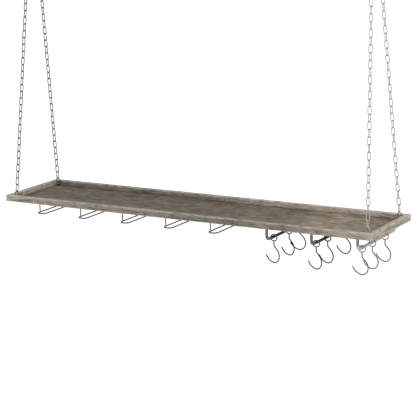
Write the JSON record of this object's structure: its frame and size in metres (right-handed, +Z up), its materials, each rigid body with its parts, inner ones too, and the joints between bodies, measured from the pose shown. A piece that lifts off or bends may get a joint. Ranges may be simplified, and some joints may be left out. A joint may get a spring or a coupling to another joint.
{
  "type": "hanging pot rack",
  "caption": "Shallow wooden tray hung on chains from two ceiling hooks, with wire stemware rails and bars carrying S-hooks for pots underneath.",
  "frame": {"origin": "on the ceiling face, midway between the two ceiling hooks", "axes": "+X along the tray to its hook-bar end, +Y to its back, +Z up into the ceiling"},
  "size_m": [1.22, 0.2702, 1.1273],
  "materials": {
    "frame_wood": "weathered, unvarnished",
    "floor_wood": "weathered, unvarnished",
    "nail_steel": "dull, darkened",
    "zinc": "satin zinc plate",
    "rail_steel": "dull black oxide",
    "bar_steel": "mill scale, partly rubbed bare",
    "hook_steel": "dull dark grey, some pieces paler"
  },
  "bodies": {
    "ceiling_hooks": {"ceiling_hook_left": "zinc", "ceiling_hook_right": "zinc"},
    "hanging_rings": {"hanging_ring_left": "zinc", "hanging_ring_right": "zinc"},
    "left_chains": {"chain_left_front": "zinc", "chain_left_back": "zinc"},
    "right_chains": {"chain_right_front": "zinc", "chain_right_back": "zinc"},
    "tray": {"front_board": "frame_wood", "back_board": "frame_wood", "left_end_board": "frame_wood", "right_end_board": "frame_wood", "floor_board_1": "floor_wood", "floor_board_2": "floor_wood", "floor_board_3": "floor_wood", "corner_nails": "nail_steel", "floor_nails": "nail_steel", "chain_eye_left_front": "zinc", "chain_eye_left_back": "zinc", "chain_eye_right_front": "zinc", "chain_eye_right_back": "zinc", "stem_rail_1": "rail_steel", "stem_rail_2": "rail_steel", "stem_rail_3": "rail_steel", "stem_rail_4": "rail_steel", "stem_rail_5": "rail_steel", "hook_bar_1": "bar_steel", "hook_bar_2": "bar_steel", "hook_bar_3": "bar_steel"},
    "pot_hook_1": {"pot_hook_1": "hook_steel"},
    "pot_hook_2": {"pot_hook_2": "hook_steel"},
    "pot_hook_3": {"pot_hook_3": "hook_steel"},
    "pot_hook_4": {"pot_hook_4": "hook_steel"},
    "pot_hook_5": {"pot_hook_5": "hook_steel"},
    "pot_hook_6": {"pot_hook_6": "hook_steel"},
    "pot_hook_7": {"pot_hook_7": "hook_steel"},
    "pot_hook_8": {"pot_hook_8": "hook_steel"},
    "pot_hook_9": {"pot_hook_9": "hook_steel"}
  },
  "joints": [
    {"name": "rack_swing", "type": "hinge", "parent": "ceiling_hooks", "child": "hanging_rings", "pos_m": [0, 0, -0.04242], "axis": [1, 0, 0], "range_deg": [-25, 25]},
    {"name": "left_chain_swing", "type": "hinge", "parent": "hanging_rings", "child": "left_chains", "pos_m": [-0.555, 0, -0.06493], "axis": [0, 1, 0], "range_deg": [-8, 8]},
    {"name": "right_chain_swing", "type": "hinge", "parent": "hanging_rings", "child": "right_chains", "pos_m": [0.555, 0, -0.06493], "axis": [0, 1, 0], "range_deg": [-8, 8]},
    {"name": "tray_level", "type": "hinge", "parent": "left_chains", "child": "tray", "pos_m": [-0.58595, 0, -0.97043], "axis": [0, 1, 0], "range_deg": [-8, 8]},
    {"name": "pot_hook_1_swing", "type": "hinge", "parent": "tray", "child": "pot_hook_1", "pos_m": [0.288, -0.084, -1.01345], "axis": [0, 1, 0], "range_deg": [-60, 60]},
    {"name": "pot_hook_2_swing", "type": "hinge", "parent": "tray", "child": "pot_hook_2", "pos_m": [0.288, 0.009, -1.01352], "axis": [0, 1, 0], "range_deg": [-60, 60]},
    {"name": "pot_hook_3_swing", "type": "hinge", "parent": "tray", "child": "pot_hook_3", "pos_m": [0.288, 0.075, -1.01277], "axis": [0, 1, 0], "range_deg": [-60, 60]},
    {"name": "pot_hook_4_swing", "type": "hinge", "parent": "tray", "child": "pot_hook_4", "pos_m": [0.426, -0.097, -1.01352], "axis": [0, 1, 0], "range_deg": [-60, 60]},
    {"name": "pot_hook_5_swing", "type": "hinge", "parent": "tray", "child": "pot_hook_5", "pos_m": [0.426, -0.025, -1.01341], "axis": [0, 1, 0], "range_deg": [-60, 60]},
    {"name": "pot_hook_6_swing", "type": "hinge", "parent": "tray", "child": "pot_hook_6", "pos_m": [0.426, 0.09, -1.01333], "axis": [0, 1, 0], "range_deg": [-60, 60]},
    {"name": "pot_hook_7_swing", "type": "hinge", "parent": "tray", "child": "pot_hook_7", "pos_m": [0.564, -0.098, -1.01317], "axis": [0, 1, 0], "range_deg": [-60, 60]},
    {"name": "pot_hook_8_swing", "type": "hinge", "parent": "tray", "child": "pot_hook_8", "pos_m": [0.564, -0.03, -1.01337], "axis": [0, 1, 0], "range_deg": [-60, 60]},
    {"name": "pot_hook_9_swing", "type": "hinge", "parent": "tray", "child": "pot_hook_9", "pos_m": [0.564, 0.056, -1.01337], "axis": [0, 1, 0], "range_deg": [-60, 60]}
  ],
  "couplings": [
    {"joint": "right_chain_swing", "follows": "left_chain_swing", "ratio": 1},
    {"joint": "tray_level", "follows": "left_chain_swing", "ratio": -0.9472}
  ]
}
